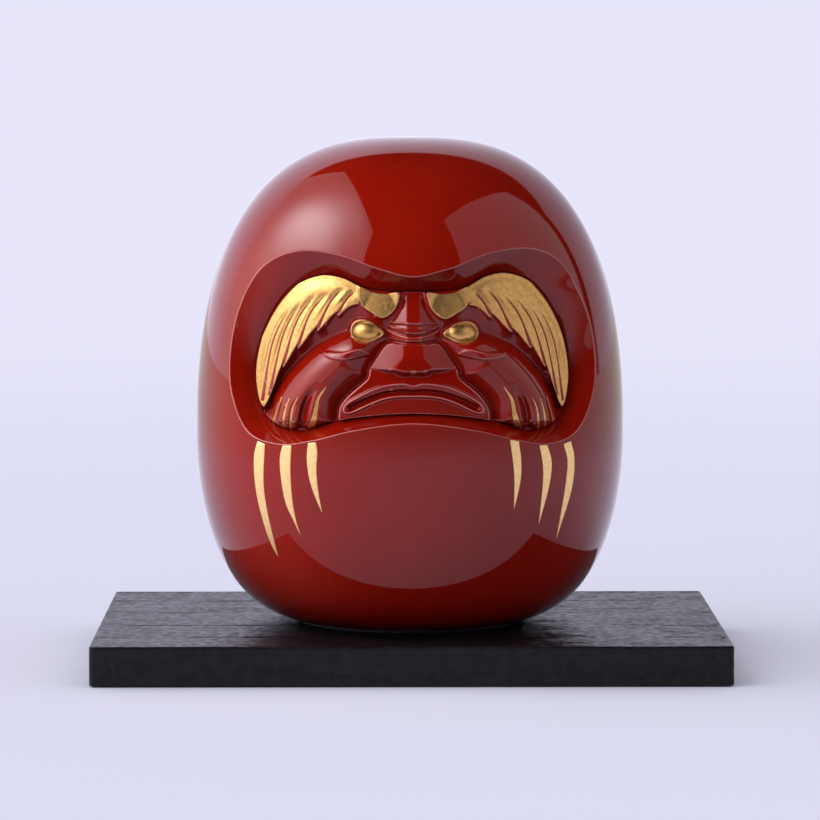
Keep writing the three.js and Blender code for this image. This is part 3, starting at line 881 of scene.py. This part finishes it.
# Outer and inner edge of each stroke, (x, height), from its blunt top down to its point.
BELLY_STROKES_LEFT = [
    ([(-43.3, 56.4), (-44.4, 52.1), (-44, 42.7), (-42.2, 34.4), (-39.7, 26.9), (-37.4, 22.8)],
     [(-41, 55.6), (-41.1, 53.3), (-41.4, 44.1), (-40.5, 36.8), (-38.9, 29), (-37.4, 22.8)]),
    ([(-36.2, 55.5), (-37, 52), (-36.6, 45.2), (-35.2, 38.6), (-32.9, 33.8), (-31, 29.8)],
     [(-33.4, 55.7), (-33.7, 48.8), (-33.2, 39.8), (-32.2, 33.9), (-31, 29.8)]),
    ([(-29, 56.6), (-29.4, 52.7), (-28.8, 47.1), (-27.5, 42.7), (-25, 36.9)],
     [(-26.5, 56.9), (-26.1, 54.2), (-26.4, 49.2), (-26, 43.5), (-25, 36.9)]),
]
BELLY_STROKES_RIGHT = [
    ([(30, 57), (30.7, 51.4), (30.5, 46), (28.6, 37.7)],
     [(27.2, 57.6), (28, 52), (28.5, 47.1), (28.6, 37.7)]),
    ([(38.1, 55.5), (39.4, 51.1), (39.1, 45.6), (35.7, 32.6)],
     [(35.6, 55.6), (36.6, 50), (36.7, 45.1), (35.7, 32.6)]),
    ([(45, 56.1), (46, 51.9), (45.7, 43.8), (40.9, 27.8)],
     [(42.6, 55.4), (43.8, 51), (43.6, 45.9), (40.9, 27.8)]),
]
STROKE_CELLS = (60, 8)
STROKE_THICK = 0.05
STROKE_TUCK = 0.04
STROKE_ROOT = 0.15


def belly_stroke(name, outer_edge, inner_edge):
    """A thin lens of paint on the body, its rim just under the lacquer's surface."""
    along, across = STROKE_CELLS
    edges = []
    for edge in (outer_edge, inner_edge):
        curve = smooth_curve(edge, steps=24)
        length = distances_along(curve)
        share = np.linspace(0, 0.995, along + 1) * length[-1]
        edges.append(np.stack([np.interp(share, length, curve[:, k]) for k in (0, 1)], axis=1))
    v = np.linspace(0, 1, across + 1)[:, None, None]
    flat = edges[0] * (1 - v) + edges[1] * v
    x, z = flat[..., 0], flat[..., 1]
    sunk = np.abs(2 * v[..., 0] - 1) ** 10 + np.zeros_like(x)
    crown = STROKE_THICK - (STROKE_THICK + STROKE_TUCK) * sunk
    crown[:, [0, -1]] = -STROKE_TUCK
    points = np.concatenate([
        np.stack([x, body_front(x, z, -crown), z], axis=-1).reshape(-1, 3),
        np.stack([x, body_front(x, z, STROKE_ROOT), z], axis=-1).reshape(-1, 3),
    ])
    cells, rim = grid_cells(*x.shape)
    top = cells.reshape(-1, 4)
    faces = np.concatenate([top, top[:, ::-1] + x.size, band(rim, rim + x.size)])
    return mesh_object(name, points, faces, offset=DOLL_PLACE)


# ---- The board's covering ----

# Where the embossing's rows meet, and where each row's blocks meet.
BOARD_ROWS = (-41, -16, 11, 38)
BOARD_BLOCKS = (
    (-74, -22, 20, 61), (-49, -6, 38, 70), (-70, -31, 12, 47), (-56, -14, 26, 74), (-66, -27, 8, 52),
)
BOARD_CORNER = 1.2
BOARD_EDGE_ROUND = 0.5
FOLD_ROUND = 0.3
COVER_THICK = 0.8
TURN_IN = 12.0
BOARD_COLUMNS, BOARD_LINES = 296, 196
NEAR_EDGE = np.array([0, 0.06, 0.16, 0.3, 0.5, 0.8, 1.2, 1.7])
EDGE_BAND = 2.2
SIDE_RINGS = 12
FOLD_TURNS = (0.35, 0.8, 1.2, np.pi / 2)


def value_noise(u, v, seed):
    """Smooth noise between 0 and 1 on a lattice of random values."""
    table = np.random.default_rng(seed).random((256, 256))
    i, j = np.floor(u).astype(int), np.floor(v).astype(int)
    s, t = u - i, v - j
    s, t = s * s * (3 - 2 * s), t * t * (3 - 2 * t)

    def along_row(i):
        return table[i % 256, j % 256] * (1 - t) + table[i % 256, (j + 1) % 256] * t

    return along_row(i) * (1 - s) + along_row(i + 1) * s


def embossing(x, y):
    """How deep the leather's top lies under its highest level: seams round the blocks and fine wrinkles."""
    x = x + 1.2 * value_noise(x / 9, y / 9, 17) - 0.6
    y = y + 1.6 * value_noise(x / 14, y / 14, 16) - 0.8
    row = np.searchsorted(BOARD_ROWS, y)
    seam = np.min([np.abs(y - line) for line in BOARD_ROWS], axis=0)
    block = np.zeros(x.shape, int)
    for number, cuts in enumerate(BOARD_BLOCKS):
        inside = row == number
        block = np.where(inside, np.searchsorted(cuts, x) + 7 * number, block)
        upright = np.min([np.abs(x - cut) for cut in cuts], axis=0)
        seam = np.where(inside, np.minimum(seam, upright + 0.15), seam)
    # Each block is wrinkled in a direction and with a strength of its own.
    turn = 2.4 * block + 0.4
    u, v = x * np.cos(turn) + y * np.sin(turn), y * np.cos(turn) - x * np.sin(turn)
    bend = 1.6 * value_noise(x / 9, y / 9, 5)
    crease = np.abs(2 * value_noise(u / 1.9 + bend, v / 6.5, 11) - 1)
    cross = np.abs(2 * value_noise(u / 5.5, v / 1.6 + bend, 12) - 1)
    strength = 0.12 + 1.5 * value_noise(0.7 * block + 0.5, np.zeros(x.shape), 15) ** 2
    strength = strength * (0.2 + 0.8 * smoothstep(0.35, 0.65, value_noise(x / 11, y / 8, 13)))
    wrinkle = 0.3 * (1 - np.minimum(crease, cross) ** 0.6) + 0.04 * value_noise(x / 1.3, y / 1.3, 14)
    worn = 0.25 + 0.75 * smoothstep(0.3, 0.7, value_noise(x / 13, y / 13, 18))
    seams = worn * (0.14 * np.exp(-seam / 1.2) + dip(seam, 0.2, 0.5))
    return strength * wrinkle * smoothstep(0, 0.6, seam) + seams


def board_wrap():
    """The leather over the top and down the sides, its hem turned under, and its inner face."""
    half_x, half_y = WRAP_HIGH.x, WRAP_HIGH.y

    def lines(half, count):
        inner = np.linspace(EDGE_BAND - half, half - EDGE_BAND, count)
        return np.concatenate([NEAR_EDGE - half, inner, (half - NEAR_EDGE)[::-1]])

    # A grid whose corners are drawn in to round ones.
    x, y = np.meshgrid(lines(half_x, BOARD_COLUMNS), lines(half_y, BOARD_LINES))
    dx = np.maximum(np.abs(x) - (half_x - BOARD_CORNER), 0)
    dy = np.maximum(np.abs(y) - (half_y - BOARD_CORNER), 0)
    pull = np.where((dx > 0) & (dy > 0), np.maximum(dx, dy) / np.maximum(np.hypot(dx, dy), 1e-9), 1)
    border = np.minimum(half_x - np.abs(x), half_y - np.abs(y))
    x = np.where(pull < 1, np.sign(x) * (half_x - BOARD_CORNER + dx * pull), x)
    y = np.where(pull < 1, np.sign(y) * (half_y - BOARD_CORNER + dy * pull), y)
    from_flat = np.maximum(BOARD_EDGE_ROUND - border, 0)
    turned = BOARD_EDGE_ROUND - np.sqrt(np.maximum(BOARD_EDGE_ROUND**2 - from_flat**2, 0))
    z = WRAP_HIGH.z - turned - embossing(x, y) * smoothstep(0.1, 1.2, border)
    cells, rim = grid_cells(*x.shape)
    top = np.stack([x, y, z], axis=-1).reshape(-1, 3)
    ring_x, ring_y = top[rim, :2].T
    along = distances_along(top[rim, :2])
    low, high = WRAP_LOW.z, WRAP_HIGH.z - BOARD_EDGE_ROUND

    def ring_at(inwards, level):
        inner_x = ring_x * ((half_x - inwards) / half_x)
        inner_y = ring_y * ((half_y - inwards) / half_y)
        return np.stack([inner_x, inner_y, np.full(len(rim), level)], axis=1)

    # The sides: not quite flat, with a soft dent here and there, and a rounded lower edge.
    rings = []
    corner_gap = (half_x - np.abs(ring_x)) + (half_y - np.abs(ring_y))
    for share in np.linspace(0, 1, SIDE_RINGS + 1)[1:]:
        dent = 0.22 * value_noise(along / 14, np.full(len(rim), 4.3 * share), 21) ** 2
        fold = dip(corner_gap - 4.5 - 2.5 * share, 0.28, 0.35) * smoothstep(0, 0.2, share)
        amount = dent * np.sin(np.pi * min(share * 1.2, 1)) + fold
        rings.append(ring_at(amount, high - (high - low - FOLD_ROUND) * share))
    for turn in FOLD_TURNS:
        rings.append(ring_at(FOLD_ROUND * (1 - math.cos(turn)), low + FOLD_ROUND * (1 - math.sin(turn))))
    # The hem underneath, its inner side, and the cover's inner face.
    inner_low, inner_high = low + COVER_THICK, WRAP_HIGH.z - COVER_THICK
    rings += [ring_at(inwards, low) for inwards in (4, 8, TURN_IN)]
    rings += [ring_at(inwards, inner_low) for inwards in (TURN_IN, 6, COVER_THICK)]
    rings += [ring_at(inwards, inner_high) for inwards in (COVER_THICK, 20, 40)]
    points = np.concatenate([top] + rings + [[(0, 0, inner_high)]])
    walls, fan = skirt(rim, rings, len(top))
    return mesh_object("board_leather", points, np.concatenate([cells.reshape(-1, 4)] + walls), fan)


# ---- Stage, lights and camera ----

FLOOR_HALF = 30.0
BACKDROP = (0.80, 0.79, 0.965, 1)
PAPER, PAPER_FILL = (0.50, 0.50, 0.60, 1), (0.685, 0.685, 0.83, 1)
PAPER_MIRRORED, PAPER_BOUNCED = (0.62, 0.62, 0.72, 1), (0.22, 0.22, 0.25, 1)
LIGHT_TINT, BACK_TINT = (0.97, 0.96, 1.0, 1), (0.95, 0.94, 1.14, 1)

# Edges of the bright areas: low, high and softness, each on a plane one unit away.
LEFT_U, LEFT_V = (-1.54, 1.33, 0.03), (-0.05, 2.48, 0.04)
RIGHT_U, RIGHT_V, RIGHT_SLOPE = (-1.45, 0.57, 0.02), (-0.05, 9.0, 0.02), (-9.0, 1.83, 0.03)
BACK_U, BACK_V = (-1.4, 1.45, 0.03), (-0.05, 1.05, 0.05)
RIGHT_STRENGTH = 0.78
SLOPE = 0.862
# Brighter spots on the left wall: middle (u, v), radii and strength.
LEFT_SPOTS = (
    (-0.18, 1.05, 0.42, 0.45, 7.4), (-0.5, 1.7, 0.7, 0.6, 2.3), (0.15, 0.85, 0.28, 0.35, 4.2),
    (-0.1, 0.15, 0.6, 0.35, 0.8),
)
TO_LEFT_LIGHT = (-0.95, -0.2, 0.15)


def floor():
    """Pale paper that fades into the backdrop, with a painted fill glow near the board and a painted contact
    shadow where that glow fades; to the object it is dimmer, and grey to matt surfaces.
    """
    mesh = bpy.data.meshes.new("floor")
    corners = [(x * FLOOR_HALF, y * FLOOR_HALF, 0) for x, y in ((-1, -1), (1, -1), (1, 1), (-1, 1))]
    mesh.from_pydata(corners, [], [(0, 1, 2, 3)])
    piece = bpy.data.objects.new("floor", mesh)
    bpy.context.scene.collection.objects.link(piece)
    made = bpy.data.materials.new("floor_paper")
    n = Nodes(made)
    place = n.add("ShaderNodeSeparateXYZ", {0: n.place()})
    away = n.add("ShaderNodeVectorMath", {0: n.place()}, operation="LENGTH").outputs["Value"]
    # Painted light: the near floor glows as a fill that lifts its shadows, and the glow fades to a painted
    # contact shadow close to the board.
    painted_shadow_factor = n.add("ShaderNodeAmbientOcclusion", {"Distance": 0.03}, samples=6).outputs["AO"]
    near = n.blend(0.5, n.paint(PAPER), n.glow(PAPER_FILL, painted_shadow_factor))
    seen = n.blend(n.ramp(away, 0.25, 1.6), near, n.glow(BACKDROP, 1.0))
    front_to_back = n.ramp(place.outputs["Y"], -2.2, 0.6, 0.25, 0.75)
    level = n.product(front_to_back, n.ramp(place.outputs["X"], -1.2, -0.1, 1.15, 1.0))
    reflected = n.blend(n.ramp(away, 0.35, 1.2), n.paint(PAPER_MIRRORED), n.glow((1, 1, 1, 1), level))
    ray = n.add("ShaderNodeLightPath").outputs
    unseen = n.blend(ray["Is Diffuse Ray"], reflected, n.paint(PAPER_BOUNCED))
    n.add("ShaderNodeOutputMaterial", {"Surface": n.blend(ray["Is Camera Ray"], unseen, seen)})
    cover(piece, made)


def studio():
    """A plain backdrop to the camera; a wall of light, a reflector and a backdrop to the object."""
    world = bpy.data.worlds.new("studio")
    bpy.context.scene.world = world
    n = Nodes(world)
    direction = n.add("ShaderNodeTexCoord").outputs["Generated"]
    x, y, z = n.add("ShaderNodeSeparateXYZ", {0: direction}).outputs

    def seen_on(ahead, across):
        """Where a direction meets a plane one unit ahead."""
        ahead = n.math("MAXIMUM", ahead, 0.001)
        return n.math("DIVIDE", across, ahead), n.math("DIVIDE", z, ahead)

    def between(value, low, high, soft):
        rising = n.ramp(value, low - soft, low + soft)
        falling = n.ramp(value, high - soft, high + soft, 1.0, 0.0)
        return n.product(rising, falling)

    def spot(u, v, centre_u, centre_v, radius_u, radius_v, strength):
        du = n.math("DIVIDE", n.math("SUBTRACT", u, centre_u), radius_u)
        dv = n.math("DIVIDE", n.math("SUBTRACT", v, centre_v), radius_v)
        square = n.total(n.product(du, du), n.product(dv, dv))
        return n.product(n.math("EXPONENT", n.product(square, -1.0)), strength)

    # A wall of light on the left.
    u, v = seen_on(n.product(x, -1.0), y)
    left_wall = n.product(between(u, *LEFT_U), between(v, *LEFT_V), n.math("LESS_THAN", x, -0.002))
    glow = n.total(*(spot(u, v, *size) for size in LEFT_SPOTS))
    left_light = n.product(left_wall, n.total(glow, n.ramp(u, 0.2, 1.2, 1.3, 0.85)))

    # A reflector on the right with a sloping top edge.
    u, v = seen_on(x, y)
    slope = n.total(v, n.product(u, SLOPE))
    right_panel = n.product(between(u, *RIGHT_U), between(v, *RIGHT_V), between(slope, *RIGHT_SLOPE))
    right_light = n.product(right_panel, n.math("GREATER_THAN", x, 0.002), RIGHT_STRENGTH)

    # The backdrop, and a faint glow from the ground up.
    u, v = seen_on(y, x)
    back_wall = n.product(between(u, *BACK_U), between(v, *BACK_V), n.math("GREATER_THAN", y, 0.002))
    back_light = n.product(back_wall, n.ramp(x, -0.4, 0.6, 1.2, 0.68))
    low = n.ramp(z, -0.02, 0.14, 0.22, 0.025)
    total = n.total(n.math("MAXIMUM", left_light, back_light), n.total(right_light, low))

    # A soft fill from the left, the right and the front for matt surfaces, which leaves no reflection.
    towards = n.add("ShaderNodeVectorMath", {0: direction, 1: TO_LEFT_LIGHT}, operation="DOT_PRODUCT")
    from_left = n.ramp(towards.outputs["Value"], 0.4, 1.0, 0.0, 9.5)
    fill = n.total(from_left, n.ramp(x, 0.5, 1.0, 0.0, 2.0), n.ramp(y, -1.0, -0.5, 1.3, 0.0))
    ray = n.add("ShaderNodeLightPath").outputs
    total = n.total(total, n.product(fill, ray["Is Diffuse Ray"]))
    tint = n.mix(back_wall, LIGHT_TINT, BACK_TINT)
    lit = n.add("ShaderNodeBackground", {"Color": tint, "Strength": total})
    plain = n.add("ShaderNodeBackground", {"Color": BACKDROP, "Strength": 1.0})
    n.add("ShaderNodeOutputWorld", {"Surface": n.blend(ray["Is Camera Ray"], lit, plain)})


def camera():
    """A long lens a little over a metre away, a little above the doll's top and tilted down."""
    distance, height = 1.172, 0.1718
    azimuth, pitch = math.radians(-0.5), math.radians(4.84)
    made = bpy.data.cameras.new("camera")
    made.lens = 176.84
    made.sensor_width = 36
    made.clip_start, made.clip_end = 0.01, 200
    piece = bpy.data.objects.new("camera", made)
    bpy.context.scene.collection.objects.link(piece)
    piece.location = (math.sin(azimuth) * distance, -math.cos(azimuth) * distance, height)
    level = math.cos(pitch)
    ahead = Vector((-math.sin(azimuth) * level, math.cos(azimuth) * level, -math.sin(pitch)))
    piece.rotation_euler = ahead.to_track_quat("-Z", "Y").to_euler()
    bpy.context.scene.camera = piece


camera()
studio()
floor()
bpy.context.scene.view_settings.view_transform = "Standard"

shell = body_shell()
add_to_doll(shell, "lacquer", "body_shell")

for name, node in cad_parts.items():
    if name.startswith(("mask_stud", "mask_washer", "mask_nut", "base_plate", "base_screw")):
        cover(node, STEEL)
cover(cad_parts["base_felt"], FELT)
cover(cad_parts["ballast"], PLASTER)
cover(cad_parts["board_core"], FIBREBOARD)
cover(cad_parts["board_backing"], CARD)

leather = board_wrap()
cover(leather, LEATHER)
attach(leather, "board")
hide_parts("board_wrap")

mask, golds = face_pieces()
cover(mask, LACQUER_FACE)
add_to_doll(mask, "lacquer", "face_mask")
for node, piece in golds.items():
    cover(piece, GOLD)
    add_to_doll(piece, "gold", *([node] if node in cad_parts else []))
for hand, strokes in (("left", BELLY_STROKES_LEFT), ("right", BELLY_STROKES_RIGHT)):
    for number, (outer_edge, inner_edge) in enumerate(strokes, 1):
        piece = belly_stroke(f"belly_stroke_{hand}_{number}", outer_edge, inner_edge)
        cover(piece, GOLD_FLAT)
        add_to_doll(piece, "gold")
